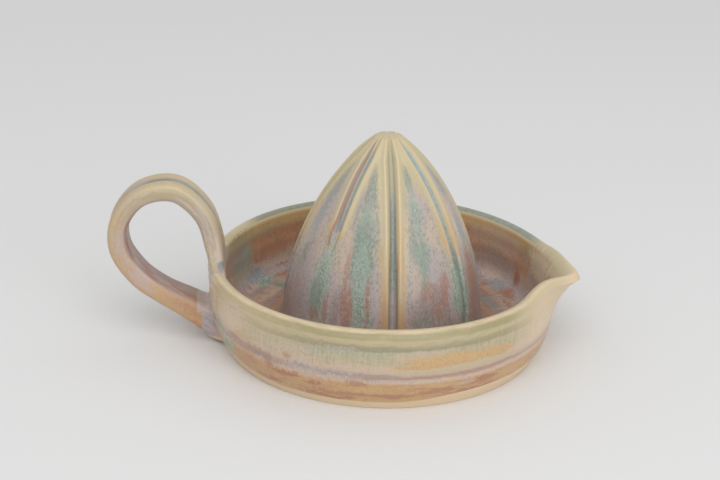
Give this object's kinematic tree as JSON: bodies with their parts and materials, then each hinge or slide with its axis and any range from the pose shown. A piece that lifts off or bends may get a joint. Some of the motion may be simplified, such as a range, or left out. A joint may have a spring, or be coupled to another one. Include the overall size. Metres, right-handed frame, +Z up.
{
  "type": "citrus juicer",
  "caption": "Wheel-thrown ceramic citrus juicer: shallow round dish with a pinched spout, a tall fluted reamer in the middle and an upright loop handle.",
  "frame": {"origin": "centre of the flat base, on the wheel axis of the dish, at table level", "axes": "+Z up along the wheel axis and the reamer; +X towards the spout, with the handle on the -X side"},
  "size_m": [0.2013, 0.1498, 0.0935],
  "materials": {
    "dish_glaze": "satin-gloss running glaze, sage and cream over rust, bare clay at the foot",
    "reamer_glaze": "satin-gloss mottled teal and lavender glaze, cream on the edges of the flutes",
    "handle_glaze": "satin-gloss cream and orange-tan glaze",
    "pooled_glaze": "glaze pooled lavender-grey in the joints"
  },
  "bodies": {
    "root": {"dish": "dish_glaze", "reamer": "reamer_glaze", "handle": "handle_glaze", "reamer_joint_coil": "pooled_glaze", "handle_joint_coil": "pooled_glaze"}
  },
  "joints": []
}
